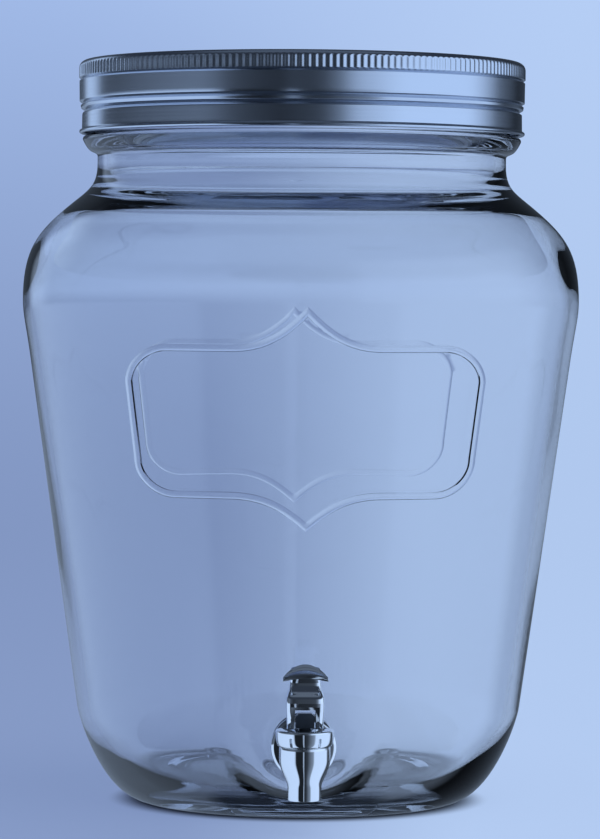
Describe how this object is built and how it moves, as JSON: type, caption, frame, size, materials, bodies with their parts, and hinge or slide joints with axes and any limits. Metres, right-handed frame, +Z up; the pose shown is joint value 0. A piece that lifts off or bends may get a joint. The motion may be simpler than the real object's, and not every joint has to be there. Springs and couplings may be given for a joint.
{
  "type": "drinks dispenser",
  "caption": "Clear glass drinks dispenser: a shouldered jar with a knurled metal screw lid and a chromed lever tap low at the front.",
  "frame": {"origin": "centre of the overall box on the surface that the jar stands on; the jar's own axis is 4.5 mm behind it, because the tap reaches forward", "axes": "+Z up, -Y towards the tap at the front, +X to the right as seen from the front"},
  "size_m": [0.25, 0.2596, 0.3315],
  "materials": {
    "clear_glass": "clear pressed glass, smooth",
    "lid_metal": "bright satin sheet metal",
    "chrome_plate": "polished chrome plate",
    "sealing_compound": "soft off-white compound",
    "silicone": "grey silicone, matt",
    "black_plastic": "moulded, fine satin",
    "steel": "drawn stainless wire and pin"
  },
  "bodies": {
    "root": {"glass_jar": "clear_glass", "tap_body": "chrome_plate", "tap_bonnet": "chrome_plate", "seat_cup": "silicone", "return_spring": "steel", "outer_washer": "silicone", "inner_washer": "silicone", "shank_nut": "black_plastic"},
    "stem": {"valve_stem": "black_plastic", "lever_pin": "steel"},
    "lever": {"tap_lever": "chrome_plate"},
    "seal": {"lid_gasket": "sealing_compound"},
    "lid": {"lid_shell": "lid_metal"}
  },
  "joints": [
    {"name": "stem_lift", "type": "slide", "parent": "root", "child": "stem", "axis": [0, 0, 1], "range_m": [0, 0.003], "stiffness_N_per_m": 600, "springref_m": -0.004, "deforming": ["seat_cup", "return_spring"]},
    {"name": "lever_tilt", "type": "hinge", "parent": "stem", "child": "lever", "pos_m": [0, -0.1171, 0.0486], "axis": [1, 0, 0], "range_deg": [0, 80]},
    {"name": "lid_lift", "type": "slide", "parent": "root", "child": "seal", "axis": [0, 0, 1], "range_m": [0, 0.0335]},
    {"name": "lid_turn", "type": "hinge", "parent": "seal", "child": "lid", "pos_m": [0, 0.0045, 0.315], "axis": [0, 0, 1], "range_deg": [0, 1000]}
  ],
  "couplings": [
    {"joint": "lever_tilt", "follows": "stem_lift", "rad_per_m": 465.42},
    {"joint": "lid_lift", "follows": "lid_turn", "m_per_rad": 0.0019099}
  ]
}
